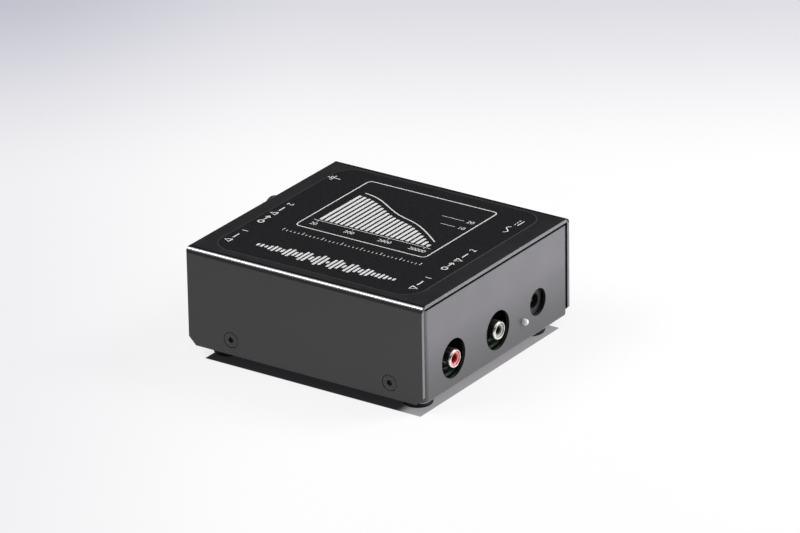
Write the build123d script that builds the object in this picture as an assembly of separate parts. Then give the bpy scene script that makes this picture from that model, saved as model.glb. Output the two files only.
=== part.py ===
"""Phono preamplifier in a small folded sheet-metal case.

Millimetres, +Z up.  +X is the output panel, with its phono jacks, power lamp
and power inlet.  -X is the input panel, with its phono jacks and ground
terminal.  The label reads from the -Y side.  Every piece is made about the
middle of the cover, on the surface that the feet stand on, and the export
moves them all along X to put the origin under the middle of the whole object.
"""
import os
from math import sqrt

from build123d import *

os.makedirs("parts", exist_ok=True)

# ---------------------------------------------------------------- the case
cover_length = 120.0      # along X
cover_width = 112.4       # along Y
cover_height = 44.8       # lower edge of the cover's sides to its top
sheet = 1.5               # cover and chassis sheet
cover_bend = 1.8          # outside radius of the cover's two long bends
corner_cut = 3.6          # chamfer on the lower corners of the cover's sides
side_gap = 0.15           # chassis to cover, each side
top_gap = 1.1             # end panels to cover top
hood = 5.6                # the cover reaches past the input panel
reveal = 0.3              # the cover stands proud of the output panel
upright_bend = 3.5        # outside radius between an end panel and its flanges and lips
floor_bend = 1.7          # outside radius all round the chassis floor
floor_drop = 0.4          # chassis floor below the lower edges of the cover
lip_height = 13.9         # folded lips along the two long sides
flange_width = 8.0        # return flanges beside the end panels
corner_relief = 1.6       # notch where a panel, a lip and the floor meet
snug = 0.03               # clearance between pieces that are fixed together

base_z = 3.1              # underside of the chassis, which is the height of the feet
floor_top = base_z + sheet
cover_low = base_z + floor_drop
case_top = cover_low + cover_height
half_width = cover_width / 2
out_face = cover_length / 2 - reveal
in_face = -cover_length / 2 + hood
chassis_half = half_width - sheet - side_gap
panel_top = case_top - sheet - top_gap

# ------------------------------------------------------------ the fasteners
cover_screw_radius = 1.95
cover_screw_length = 8.0
cover_screw_head = 3.5    # head radius, 90 degree countersunk
head_rim = 0.2            # straight edge above the cone
head_ring = 0.15          # the countersink is this much wider than the head
hex_key = 2.5             # across the flats of the socket
hex_depth = 1.3
screw_inset = 16.5        # from each panel's outer face
screw_rise = 6.95         # above the lower edges of the cover
thread_gap = 0.05         # radial gap that stands for the thread
nut_radius = 3.6
nut_length = 2.5
screw_x = (in_face + screw_inset, out_face - screw_inset)
screw_z = cover_low + screw_rise

board_screw_radius = 1.45
board_screw_head = 2.75
board_screw_head_height = 1.9
cross_width = 0.7         # arms of the cross recess
cross_depth = 1.0
standoff_flats = 5.5
standoff_base = 1.0       # closed end, on the chassis floor
standoff_inset = 5.5      # from the board's ends
standoff_side = 5.0       # from the board's sides

# ------------------------------------------------------- feet and the label
foot_radius = 6.5
foot_round = 0.9          # rounded lower rim
foot_dimple = 2.4         # radius of the recess underneath
foot_dimple_depth = 1.2
foot_inset = 8.5          # from each panel's outer face
foot_near_side = 7.5      # from the chassis side nearer to the label reader
foot_far_side = 16.0      # from the other chassis side
label_size = (104.0, 102.0)
label_centre = (-1.0, 1.0)
label_corner = 10.0
label_thickness = 0.15

# -------------------------------------------------------- the circuit board
board_thickness = 1.6
board_rise = 3.8          # chassis floor to the board
board_gap = 0.8           # board to the inner faces of the panels
board_side_gap = 5.8      # board to the inner faces of the lips
board_under = floor_top + board_rise
board_top = board_under + board_thickness
board_x = (in_face + sheet + board_gap, out_face - sheet - board_gap)
board_half = chassis_half - sheet - board_side_gap
lead_tip = 1.2            # leads stick out under the board
lead_hole = 0.9           # radius of a hole for a flat lead
tab_width = 1.3           # flat leads of the jacks and the inlet
tab_thickness = 0.5
moulded_edge = 0.7        # chamfer on moulded housings

# ---------------------------------------------------------- the phono jacks
jack_inset = 23.5         # right channel's axis from the cover's -Y side
jack_pitch = 33.6         # right channel to left channel
jack_rise = 6.7           # axis above the board
jack_opening = 8.75       # radius of the panel hole
sleeve_radius = 4.15
sleeve_wall = 0.55
sleeve_length = 9.3
sleeve_proud = 1.0        # past the panel's outer face
flange_plate = 0.5
flange_size = 9.4
insert_recess = 0.5       # behind the sleeve's front edge
insert_mouth = 1.9        # radius of the insert's front hole
contact_bore = 1.6
contact_wall = 0.45
contact_recess = 0.8      # behind the insert's front
contact_length = 7.6
contact_tail = 0.5        # radius
housing_depth = 10.0
housing_width = 10.0
housing_above = 5.0       # above the axis
jack_z = board_top + jack_rise
jack_y = (-half_width + jack_inset, -half_width + jack_inset + jack_pitch)

# ------------------------------------------------------------ the power lamp
lamp_inset = 35.3         # from the cover's +Y side
lamp_rise = 3.0           # axis above the board
lamp_radius = 1.5
lamp_proud = 2.2
lamp_length = 5.3
lamp_rim = 1.9            # radius
lamp_rim_length = 1.0
lamp_hole_gap = 0.2
lamp_lead = 0.5           # square section
lamp_lead_pitch = 2.54
lamp_lead_reach = 3.0
lamp_z = board_top + lamp_rise
lamp_y = half_width - lamp_inset

# ----------------------------------------------------------- the power inlet
inlet_inset = 24.4        # from the cover's +Y side
inlet_rise = 8.1          # axis above the board
inlet_opening = 6.1       # radius of the panel hole
inlet_recess = 2.0        # its face behind the panel's outer face
inlet_depth = 14.0
inlet_width = 11.2
inlet_above = 5.6
inlet_bore = 3.25
inlet_bore_depth = 9.5
inlet_pin = 1.05          # radius
inlet_pin_recess = 1.2
inlet_tail = 0.8          # radius of the pin's thinner end, inside the housing
inlet_z = board_top + inlet_rise
inlet_y = half_width - inlet_inset

# ------------------------------------------------------- the ground terminal
post_inset = 23.9         # from the cover's +Y side
post_rise = 24.6          # above the chassis floor
post_radius = 2.0         # M4 stud
collar_radius = 6.0       # outer insulator
collar_length = 3.0
spigot_radius = 3.8
spigot_gap = 0.1          # panel hole around the spigot
stud_flange_radius = 4.6
stud_flange_length = 1.5
washer_radius = 5.4
washer_length = 1.2
washer_gap = 0.05         # clamped face to clamped face
neck_radius = 5.0
neck_length = 4.5
grip_radius = 6.5
grip_length = 15.0
grip_grooves = 24
groove_radius = 0.45
stud_end_gap = 3.0        # inside the knob, past the end of the stud
knob_bore_gap = 0.05
inner_washer_radius = 6.0
inner_washer_length = 2.0
tag_radius = 4.0
tag_thickness = 0.5
tag_drop = 9.0            # from the axis down to the solder eye
tag_width = 3.0
post_nut_flats = 7.0
post_nut_length = 3.2
stud_tail = 1.5           # past the nut
wire_radius = 0.7
wire_shift = 5.0          # along X, from the tag to the board
post_z = floor_top + post_rise
post_y = half_width - post_inset

# --------------------------------------------------------- the setting switches
bank_x = -18.0
bank_y = (-24.0, 24.0)
bank_ways = 4
bank_pitch = 2.54
bank_end = 1.0            # past the outer switches, beside the half pitch
bank_width = 6.2
bank_height = 4.3
window_gap = 0.5          # chassis window around a bank
slot_width = 1.3
slot_length = 3.2
slot_depth = 1.4
slider_gap = 0.06         # slider to slot, on each side
slider_length = 1.5
slider_proud = 0.25       # past the bank's face
slider_rib = 0.5          # width of the ridge that a pen tip pushes

# --------------------------------------------------- parts on the board's top
socket_size = (10.0, 9.6, 4.2)
chip_size = (9.6, 6.4, 3.3)
chip_notch = 0.9
film_size = (5.0, 7.2, 9.5)
pair_offset = 6.0         # parts in pairs, each side of a channel's centre line
resistor_radius = 1.2
resistor_length = 6.3
axial_span = 10.16        # lead to lead
axial_wire = 0.3          # radius
axial_rise = 1.6          # axis above the board
axial_count = 4           # resistors, or diodes, side by side
axial_pitch = 4.0
small_can_radius = 3.15
small_can_height = 11.0
reservoir_radius = 6.25
reservoir_height = 25.0
diode_radius = 1.35
diode_length = 5.2
regulator_body = (10.0, 4.4, 9.0)
regulator_tab = (10.0, 1.3, 15.5)
regulator_rise = 3.5
leg_pitch = 2.54
power_inset = 11.0        # row of power parts from the board's +Y edge
power_margin = 1.5        # clear of the board screws


# ------------------------------------------------------------------ shapes
def block(x, y, z):
    """A box given by its low and high limit on each axis."""
    size = (x[1] - x[0], y[1] - y[0], z[1] - z[0])
    return Pos((x[0] + x[1]) / 2, (y[0] + y[1]) / 2, (z[0] + z[1]) / 2) * Box(*size)


def rod_x(radius, x, y=0.0, z=0.0):
    """A cylinder along X between two X values."""
    return Pos((x[0] + x[1]) / 2, y, z) * Rot(0, 90, 0) * Cylinder(radius, x[1] - x[0])


def rod_y(radius, y, x=0.0, z=0.0):
    """A cylinder along Y between two Y values."""
    return Pos(x, (y[0] + y[1]) / 2, z) * Rot(90, 0, 0) * Cylinder(radius, y[1] - y[0])


def rod_z(radius, z, x=0.0, y=0.0):
    """A cylinder along Z between two Z values."""
    return Pos(x, y, (z[0] + z[1]) / 2) * Cylinder(radius, z[1] - z[0])


def hexagon_along(axis, flats, low, high):
    """A hexagonal prism on the named axis through the origin."""
    prism = extrude(RegularPolygon(flats / sqrt(3), 6), high - low)
    turn = {"X": Rot(0, 90, 0), "Y": Rot(-90, 0, 0), "Z": Rot(0, 0, 0)}[axis]
    start = {"X": Pos(low, 0, 0), "Y": Pos(0, low, 0), "Z": Pos(0, 0, low)}[axis]
    return start * turn * prism


def centred(size):
    """The two limits of a length laid evenly about zero."""
    return (-size / 2, size / 2)


def spread(widths, low, high):
    """Centres of pieces in a row, with the same gap between them and at its ends."""
    gap = (high - low - sum(widths)) / (len(widths) + 1)
    centres = []
    for width in widths:
        centres.append(low + gap + width / 2)
        low += gap + width
    return centres


def group(solids):
    """Identical pieces that share one node, as separate solids."""
    return Compound(list(solids))


# -------------------------------------------------------- cover and chassis
def cover():
    outside = block(centred(cover_length), centred(cover_width), (cover_low, case_top))
    long_edges = outside.edges().filter_by(Axis.X).group_by(Axis.Z)[-1]
    outside = fillet(long_edges, cover_bend)
    inner_width = cover_width - 2 * sheet
    inside = block(centred(cover_length + 2), centred(inner_width), (cover_low - 1, case_top - sheet))
    inner_edges = inside.edges().filter_by(Axis.X).group_by(Axis.Z)[-1]
    shell = outside - fillet(inner_edges, cover_bend - sheet)
    low_corners = shell.edges().filter_by(Axis.Y).group_by(Axis.Z)[0]
    shell = chamfer(low_corners, corner_cut)
    return shell - group(cover_countersinks())


def cover_countersinks():
    """Holes through the cover's two sides, one for each countersunk head."""
    cutter = countersunk(cover_screw_head + head_ring, cover_screw_radius)
    for x in screw_x:
        yield Pos(x, -half_width, screw_z) * cutter
        yield Pos(x, half_width, screw_z) * Rot(0, 0, 180) * cutter


def pan(wall):
    """The space inside the chassis bends, the given wall in from its outer faces."""
    half = chassis_half - wall
    top = panel_top + wall
    solid = block((in_face + wall, out_face - wall), centred(2 * half), (base_z + wall, top))
    solid = fillet(solid.edges().filter_by(Axis.Z), upright_bend - wall)
    return fillet(solid.faces().sort_by(Axis.Z)[0].edges(), floor_bend - wall)


def chassis():
    tray = pan(0) - pan(sheet)
    between = (in_face + flange_width, out_face - flange_width)
    above_lips = (base_z + lip_height, panel_top + 1)
    tray -= block(between, centred(2 * chassis_half + 2), above_lips)
    for x in (in_face + upright_bend + corner_relief, out_face - upright_bend - corner_relief):
        for side in (-1, 1):
            y = side * (chassis_half - sheet / 2)
            tray -= rod_z(corner_relief / 2, (base_z - 1, base_z + floor_bend), x, y)
    tray -= group(panel_holes())
    tray -= group(floor_windows())
    for x in screw_x:
        reach = chassis_half + 1
        tray -= rod_y(cover_screw_radius + 2 * thread_gap, (-reach, reach), x, screw_z)
    return tray


def panel_holes():
    """Holes through the two end panels."""
    through_out = (out_face - 2 * sheet, out_face + 1)
    through_in = (in_face - 1, in_face + 2 * sheet)
    for y in jack_y:
        yield rod_x(jack_opening, through_out, y, jack_z)
        yield rod_x(jack_opening, through_in, y, jack_z)
    yield rod_x(lamp_radius + lamp_hole_gap, through_out, lamp_y, lamp_z)
    yield rod_x(inlet_opening, through_out, inlet_y, inlet_z)
    yield rod_x(spigot_radius + spigot_gap, through_in, post_y, post_z)


def floor_windows():
    """Windows in the chassis floor that the setting switches look through."""
    wide = bank_length() + 2 * window_gap
    deep = bank_width + 2 * window_gap
    for y in bank_y:
        pane = block(centred(wide), centred(deep), (base_z - 1, floor_top + 1))
        corners = pane.edges().filter_by(Axis.Z)
        yield Pos(bank_x, y, 0) * fillet(corners, window_gap)


def countersunk(head_radius, shank_radius):
    """A straight rim and a 90 degree cone along +Y, the flat face at zero."""
    drop = head_radius - shank_radius
    cone = Pos(0, head_rim + drop / 2, 0) * Rot(-90, 0, 0) * Cone(head_radius, shank_radius, drop)
    return rod_y(head_radius, (0, head_rim)) + cone


def cover_screw():
    """Countersunk socket screw along +Y, its flat face at zero."""
    head = countersunk(cover_screw_head, cover_screw_radius)
    shank = rod_y(cover_screw_radius, (head_rim, cover_screw_length))
    return head + shank - hexagon_along("Y", hex_key, -1, hex_depth)


def cover_screws():
    solid = cover_screw()
    for x in screw_x:
        yield Pos(x, -half_width, screw_z) * solid
        yield Pos(x, half_width, screw_z) * Rot(0, 0, 180) * solid


def press_nuts():
    """Nuts pressed on the inner face of each chassis lip."""
    inner = chassis_half - sheet
    bore = cover_screw_radius + thread_gap
    for x in screw_x:
        for side in (-1, 1):
            y = sorted((side * inner, side * (inner - nut_length)))
            nut = rod_y(nut_radius, y, x, screw_z)
            yield nut - rod_y(bore, (y[0] - 1, y[1] + 1), x, screw_z)


def foot():
    pad = rod_z(foot_radius, (0, base_z))
    pad = fillet(pad.edges().sort_by(Axis.Z)[0], foot_round)
    return pad - rod_z(foot_dimple, (-1, foot_dimple_depth))


def foot_places():
    near = foot_near_side - chassis_half
    far = chassis_half - foot_far_side
    x = (in_face + foot_inset, out_face - foot_inset)
    return {
        "foot_input_near": Pos(x[0], near, 0),
        "foot_input_far": Pos(x[0], far, 0),
        "foot_output_near": Pos(x[1], near, 0),
        "foot_output_far": Pos(x[1], far, 0),
    }


def label():
    outline = RectangleRounded(*label_size, label_corner)
    return Pos(*label_centre, case_top) * extrude(outline, label_thickness)


# ---------------------------------------------------- board and its fixings
def standoff_places():
    side = board_half - standoff_side
    for x in (board_x[0] + standoff_inset, board_x[1] - standoff_inset):
        for y in (-side, side):
            yield Pos(x, y, 0)


def board():
    plate = block(board_x, (-board_half, board_half), (board_under, board_top))
    through = (board_under - 1, board_top + 1)
    for place in standoff_places():
        plate -= place * rod_z(board_screw_radius + 2 * thread_gap, through)
    for x, y in lead_places():
        plate -= rod_z(lead_hole, through, x, y)
    return plate


def lead_places():
    """Where the flat leads of the jacks, inlet and lamp go through the board."""
    for panel, way in ((out_face, 1), (in_face, -1)):
        for y in jack_y:
            front = panel + way * sleeve_proud
            yield front - way * (sleeve_length + flange_plate / 2), y
            yield front - way * jack_tail_x(), y
    yield inlet_back() + tab_thickness / 2, inlet_y
    for side in (-1, 1):
        yield lamp_lead_x(), lamp_y + side * lamp_lead_pitch / 2


def standoffs():
    tube = hexagon_along("Z", standoff_flats, floor_top, board_under)
    tube -= rod_z(board_screw_radius + thread_gap, (floor_top + standoff_base, board_under + 1))
    for place in standoff_places():
        yield place * tube


def board_screws():
    """Pan-head screws down through the board into the standoffs."""
    head = rod_z(board_screw_head, (board_top, board_top + board_screw_head_height))
    head = fillet(head.edges().sort_by(Axis.Z)[-1], board_screw_head_height / 2)
    shank = rod_z(board_screw_radius, (floor_top + standoff_base + snug, board_top))
    arm = centred(2 * board_screw_head / 3 + cross_width)
    deep = (board_top + board_screw_head_height - cross_depth, board_top + board_screw_head_height)
    cross = block(arm, centred(cross_width), deep) + block(centred(cross_width), arm, deep)
    for place in standoff_places():
        yield place * (head + shank - cross)


# ---------------------------------------------------------- the phono jacks
# Each piece is made facing +X, with the front of the sleeve at the origin.
def jack_tail_x():
    """From the sleeve's front back to the middle of the contact's tab."""
    return sleeve_length + flange_plate + housing_depth + tab_thickness / 2


def board_tab(x, z_top):
    """A flat lead from z_top down through the board, thin along X."""
    low = -jack_rise - board_thickness - lead_tip
    return block((x - tab_thickness / 2, x + tab_thickness / 2), centred(tab_width), (low, z_top))


def jack_sleeve():
    back = -sleeve_length - flange_plate
    tube = rod_x(sleeve_radius, (-sleeve_length, 0))
    tube = chamfer(tube.edges().sort_by(Axis.X)[-1], sleeve_wall / 3)
    half = centred(flange_size)
    plate = block((back, -sleeve_length), half, half)
    tab = board_tab(back + flange_plate / 2, -flange_size / 2 + tab_thickness)
    return tube + plate + tab - rod_x(sleeve_radius - sleeve_wall, (back - 1, 1))


def jack_insert():
    back = -sleeve_length - flange_plate + snug
    plug = rod_x(sleeve_radius - sleeve_wall - snug, (back, -insert_recess))
    mouth = rod_x(insert_mouth, (-insert_recess - contact_recess, 0))
    seat = rod_x(contact_radius() + snug, (back - 1, -insert_recess - contact_recess))
    plug -= mouth + seat
    rim = plug.edges().filter_by(GeomType.CIRCLE).group_by(Axis.X)[-1].sort_by(SortBy.RADIUS)[0]
    return chamfer(rim, contact_recess / 2)


def contact_radius():
    return contact_bore + contact_wall


def jack_contact():
    front = -insert_recess - contact_recess - snug
    tube = rod_x(contact_radius(), (front - contact_length, front))
    tube -= rod_x(contact_bore, (front - contact_length + contact_wall, front + 1))
    end = -jack_tail_x() + tab_thickness / 2
    tail = rod_x(contact_tail, (end, front - contact_length + contact_wall / 2))
    return tube + tail + board_tab(-jack_tail_x(), contact_tail)


def jack_housing():
    front = -sleeve_length - flange_plate
    half = centred(housing_width)
    body = block((front - housing_depth, front), half, (-jack_rise, housing_above))
    body = chamfer(body.faces().sort_by(Axis.Z)[-1].edges(), moulded_edge)
    return body - rod_x(contact_tail + snug, (front - housing_depth - 1, front + 1))


def jack_place(panel, y):
    """Puts a jack piece at the output panel or, turned about, at the input panel."""
    if panel == "output":
        return Pos(out_face + sleeve_proud, y, jack_z)
    return Pos(in_face - sleeve_proud, y, jack_z) * Rot(0, 0, 180)


# -------------------------------------------------- power lamp and its leads
def lamp_back():
    return out_face + lamp_proud - lamp_length


def lamp_lead_x():
    return lamp_back() - lamp_lead_reach


def lamp():
    back = lamp_back()
    ball_x = out_face + lamp_proud - lamp_radius
    rim = rod_x(lamp_rim, (back, back + lamp_rim_length), lamp_y, lamp_z)
    stem = rod_x(lamp_radius, (back, ball_x), lamp_y, lamp_z)
    return rim + stem + Pos(ball_x, lamp_y, lamp_z) * Sphere(lamp_radius)


def lamp_leads():
    half = lamp_lead / 2
    for side in (-1, 1):
        y = lamp_y + side * lamp_lead_pitch / 2
        width = (y - half, y + half)
        along = block((lamp_lead_x() - half, lamp_back()), width, (lamp_z - half, lamp_z + half))
        down = block((lamp_lead_x() - half, lamp_lead_x() + half), width,
                     (board_under - lead_tip, lamp_z + half))
        yield along + down


# ----------------------------------------------------------- the power inlet
def inlet_front():
    return out_face - inlet_recess


def inlet_back():
    """The outer face of the centre contact's tab, behind the housing."""
    return inlet_front() - inlet_depth - tab_thickness


def inlet_floor():
    """The bottom of the housing's bore, which the pin stands on."""
    return inlet_front() - inlet_bore_depth


def inlet_housing():
    front = inlet_front()
    back = front - inlet_depth
    width = (inlet_y - inlet_width / 2, inlet_y + inlet_width / 2)
    body = block((back, front), width, (board_top, inlet_z + inlet_above))
    body = chamfer(body.faces().sort_by(Axis.Z)[-1].edges(), moulded_edge)
    body -= rod_x(inlet_bore, (inlet_floor(), front + 1), inlet_y, inlet_z)
    return body - rod_x(inlet_tail + snug, (back - 1, front), inlet_y, inlet_z)


def inlet_contact():
    """The centre pin, its tail through the housing and its lead to the board."""
    tip = inlet_front() - inlet_pin_recess
    back = inlet_back()
    pin = rod_x(inlet_pin, (inlet_floor(), tip), inlet_y, inlet_z)
    pin = fillet(pin.edges().sort_by(Axis.X)[-1], inlet_pin / 2)
    pin += rod_x(inlet_tail, (back, inlet_floor()), inlet_y, inlet_z)
    width = (inlet_y - tab_width / 2, inlet_y + tab_width / 2)
    return pin + block((back, back + tab_thickness), width, (board_under - lead_tip, inlet_z))


# ------------------------------------------------------- the ground terminal
# Each piece is made on the X axis, outwards along -X from the panel's face.
def stud_flange_end():
    return -collar_length - stud_flange_length


def washer_end():
    return stud_flange_end() - washer_gap - washer_length


def knob_end():
    return washer_end() - washer_gap - neck_length - grip_length


def ground_collar():
    ring = rod_x(collar_radius, (-collar_length, 0))
    ring = chamfer(ring.edges().sort_by(Axis.X)[0], collar_length / 5)
    spigot = rod_x(spigot_radius, (0, sheet))
    return ring + spigot - rod_x(post_radius + snug, (-collar_length - 1, sheet + 1))


def inner_stack():
    """X limits, inside the panel, of the washer, the solder tag and the nut."""
    washer = (sheet, sheet + inner_washer_length)
    tag = (washer[1], washer[1] + tag_thickness)
    nut = (tag[1], tag[1] + post_nut_length)
    return washer, tag, nut


def ground_inner_washer():
    limits = inner_stack()[0]
    return rod_x(inner_washer_radius, limits) - rod_x(post_radius + snug, (0, limits[1] + 1))


def ground_tag():
    limits = inner_stack()[1]
    plate = rod_x(tag_radius, limits)
    plate += block(limits, centred(tag_width), (-tag_drop, 0))
    plate += rod_x(tag_width / 2, limits, z=-tag_drop)
    return plate - rod_x(post_radius + snug, (0, limits[1] + 1))


def ground_nut():
    limits = inner_stack()[2]
    return hexagon_along("X", post_nut_flats, *limits) - rod_x(post_radius + snug, (0, limits[1] + 1))


def ground_stud():
    inner_end = inner_stack()[2][1] + stud_tail
    outer_end = knob_end() + stud_end_gap
    stud = rod_x(post_radius, (outer_end, inner_end))
    stud = chamfer(stud.edges().sort_by(Axis.X)[0], post_radius / 4)
    return stud + rod_x(stud_flange_radius, (stud_flange_end(), -collar_length))


def ground_washer():
    limits = (washer_end(), washer_end() + washer_length)
    return rod_x(washer_radius, limits) - rod_x(post_radius + knob_bore_gap, (limits[0] - 1, 0))


def ground_knob():
    start = washer_end() - washer_gap
    neck = rod_x(neck_radius, (start - neck_length, start))
    grip = rod_x(grip_radius, (knob_end(), start - neck_length))
    grip = chamfer(grip.edges().group_by(Axis.X)[0], groove_radius * 2)
    grip = chamfer(grip.edges().group_by(Axis.X)[-1], groove_radius)
    groove = rod_x(groove_radius, (knob_end() - 1, start - neck_length + 1), z=grip_radius)
    cuts = (Rot(360 * i / grip_grooves, 0, 0) * groove for i in range(grip_grooves))
    bore = rod_x(post_radius + knob_bore_gap, (knob_end() + stud_end_gap / 2, start + 1))
    return neck + grip - group(cuts) - bore


def ground_wire():
    """A short insulated wire from the tag's solder eye to the board."""
    start_x = in_face + inner_stack()[1][1] + wire_radius
    eye_z = post_z - tag_drop
    route = [
        (start_x, post_y, eye_z),
        (start_x, post_y, (2 * eye_z + board_top) / 3),
        (start_x + wire_shift, post_y, (eye_z + 2 * board_top) / 3),
        (start_x + wire_shift, post_y, board_top),
    ]
    path = FilletPolyline(*route, radius=2 * wire_radius)
    return sweep(Plane(route[0], z_dir=(0, 0, -1)) * Circle(wire_radius), path=path)


# ------------------------------------------------------- the setting switches
def bank_length():
    return bank_ways * bank_pitch + 2 * bank_end


def way_x(way):
    """Distance of one switch from the middle of its bank."""
    return (way - (bank_ways - 1) / 2) * bank_pitch


def bank_housing():
    """A bank, hung under the board with its slots facing down."""
    face = board_under - bank_height
    body = block(centred(bank_length()), centred(bank_width), (face, board_under))
    for way in range(bank_ways):
        slot = block(centred(slot_width), centred(slot_length), (face - 1, face + slot_depth))
        body -= Pos(way_x(way), 0, 0) * slot
    return body


def slider(way):
    """One switch's slider at the end of its slot nearer to the -Y side."""
    face = board_under - bank_height
    start = -slot_length / 2 + slider_gap
    across = centred(slot_width - 2 * slider_gap)
    body = block(across, (start, start + slider_length), (face, face + slot_depth - slider_gap))
    middle = start + slider_length / 2
    rib = (middle - slider_rib / 2, middle + slider_rib / 2)
    return Pos(way_x(way), 0, 0) * (body + block(across, rib, (face - slider_proud, face)))


# --------------------------------------------------- parts on the board's top
def axial_bank(radius):
    """Width of a bank of resistors or diodes, along X."""
    return (axial_count - 1) * axial_pitch + 2 * radius


def signal_row():
    """X places between the jacks: can, socket, two films, socket, resistors."""
    reach = jack_tail_x() + tab_thickness / 2 - sleeve_proud
    widths = (2 * small_can_radius, socket_size[0], film_size[0], film_size[0],
              socket_size[0], axial_bank(resistor_radius))
    return spread(widths, in_face + reach, out_face - reach)


def power_row():
    """X places behind the inlet: diodes, two regulators, two reservoirs."""
    low = board_x[0] + standoff_inset + board_screw_head + power_margin
    widths = (axial_bank(diode_radius), regulator_body[0], regulator_body[0],
              2 * reservoir_radius, 2 * reservoir_radius)
    return spread(widths, low, inlet_back())


def power_y():
    return board_half - power_inset


def pairs(x):
    """Places on both channels' centre lines, one each side of the line."""
    return [Pos(x, y + side * pair_offset, 0) for y in jack_y for side in (-1, 1)]


def chip_places():
    row = signal_row()
    return [Pos(x, y, board_top) for x in (row[1], row[4]) for y in jack_y]


def chip_sockets():
    length, width, height = socket_size
    well = chip_size[1] - 2 * chip_notch
    frame = block(centred(length), centred(width), (0, height))
    frame -= block(centred(length - 2 * chip_notch), centred(well), (chip_notch, height + 1))
    for place in chip_places():
        yield place * frame


def amplifier_chips():
    length, width, height = chip_size
    low = socket_size[2]
    body = block(centred(length), centred(width), (low, low + height))
    body -= rod_z(chip_notch, (low + height - chip_notch, low + height + 1), -length / 2)
    for place in chip_places():
        yield place * body


def film_capacitors():
    width, length, height = film_size
    box = block(centred(width), centred(length), (board_top, board_top + height))
    box = fillet(box.edges().filter_by(Axis.Z), width / 8)
    for x in signal_row()[2:4]:
        for place in pairs(x):
            yield place * box


def axial(radius, length):
    """A body between two bent leads that stand on the board, laid along Y."""
    z = board_top + axial_rise
    body = rod_y(radius, centred(length), z=z)
    body = fillet(body.edges(), radius / 3)
    body += rod_y(axial_wire, centred(axial_span + 2 * axial_wire), z=z)
    for side in (-1, 1):
        body += rod_z(axial_wire, (board_top, z), y=side * axial_span / 2)
    return body


def axial_places(x):
    """X places of a bank of resistors or diodes about its middle."""
    return [x + (i - (axial_count - 1) / 2) * axial_pitch for i in range(axial_count)]


def resistors():
    piece = axial(resistor_radius, resistor_length)
    for x in axial_places(signal_row()[5]):
        for place in pairs(x):
            yield place * piece


def rectifier_diodes():
    piece = axial(diode_radius, diode_length)
    for x in axial_places(power_row()[0]):
        yield Pos(x, power_y(), 0) * piece


def capacitor_can(radius, height):
    """A standing electrolytic capacitor with a crimped waist and rounded top."""
    can = rod_z(radius, (board_top, board_top + height))
    can = fillet(can.edges().sort_by(Axis.Z)[-1], radius / 8)
    waist = Pos(0, 0, board_top + radius / 2) * Torus(radius + radius / 20, radius / 8)
    return can - waist


def small_capacitors():
    can = capacitor_can(small_can_radius, small_can_height)
    for place in pairs(signal_row()[0]):
        yield place * can


def reservoir_capacitor(x):
    return Pos(x, power_y(), 0) * capacitor_can(reservoir_radius, reservoir_height)


def regulator(x):
    """A three-legged regulator standing with its metal tab towards +Y."""
    low = board_top + regulator_rise
    body_width, depth, body_height = regulator_body
    tab_width_x, tab_depth, tab_height = regulator_tab
    body = block(centred(body_width), (tab_depth - depth, 0), (low, low + body_height))
    body += block(centred(tab_width_x), (0, tab_depth), (low, low + tab_height))
    for leg_x in (-leg_pitch, 0, leg_pitch):
        width = (leg_x - tab_thickness / 2, leg_x + tab_thickness / 2)
        body += block(width, (-tab_depth - tab_thickness, -tab_depth), (board_top, low))
    return Pos(x, power_y(), 0) * body


# ------------------------------------------------------------------- export
nodes = {
    "cover": cover(),
    "chassis": chassis(),
    "cover_screws": group(cover_screws()),
    "press_nuts": group(press_nuts()),
    "label": label(),
    "circuit_board": board(),
    "board_standoffs": group(standoffs()),
    "board_screws": group(board_screws()),
    "power_lamp": lamp(),
    "power_lamp_leads": group(lamp_leads()),
    "power_inlet_housing": inlet_housing(),
    "power_inlet_contact": inlet_contact(),
    "chip_sockets": group(chip_sockets()),
    "amplifier_chips": group(amplifier_chips()),
    "film_capacitors": group(film_capacitors()),
    "resistors": group(resistors()),
    "rectifier_diodes": group(rectifier_diodes()),
    "small_capacitors": group(small_capacitors()),
    "positive_regulator": regulator(power_row()[1]),
    "negative_regulator": regulator(power_row()[2]),
    "reservoir_capacitor_1": reservoir_capacitor(power_row()[3]),
    "reservoir_capacitor_2": reservoir_capacitor(power_row()[4]),
    "ground_wire": ground_wire(),
}

for name, place in foot_places().items():
    nodes[name] = place * foot()

for panel in ("input", "output"):
    for channel, y in zip(("right", "left"), jack_y):
        for piece, solid in (("sleeve", jack_sleeve()), ("insert", jack_insert()),
                             ("contact", jack_contact()), ("housing", jack_housing())):
            nodes[f"{panel}_{channel}_{piece}"] = jack_place(panel, y) * solid

for piece, solid in (("collar", ground_collar()), ("inner_washer", ground_inner_washer()),
                     ("tag", ground_tag()), ("nut", ground_nut()), ("stud", ground_stud()),
                     ("washer", ground_washer()), ("knob", ground_knob())):
    nodes[f"ground_{piece}"] = Pos(in_face, post_y, post_z) * solid

for bank, y in enumerate(bank_y, start=1):
    place = Pos(bank_x, y, 0)
    nodes[f"switch_bank_{bank}"] = place * bank_housing()
    for way in range(bank_ways):
        nodes[f"switch_{bank}_slider_{way + 1}"] = place * slider(way)

ends = (in_face + knob_end(), out_face + lamp_proud)
for name, shape in nodes.items():
    export_step(Pos(-(ends[0] + ends[1]) / 2, 0, 0) * shape, f"parts/{name}.step")
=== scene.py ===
"""Phono preamplifier in a small folded sheet-metal case, with jacks at both ends.

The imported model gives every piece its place, in metres with +Z up.  The output
panel faces +X, the input panel -X, and the label reads from the -Y side.
"""
import math

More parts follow.
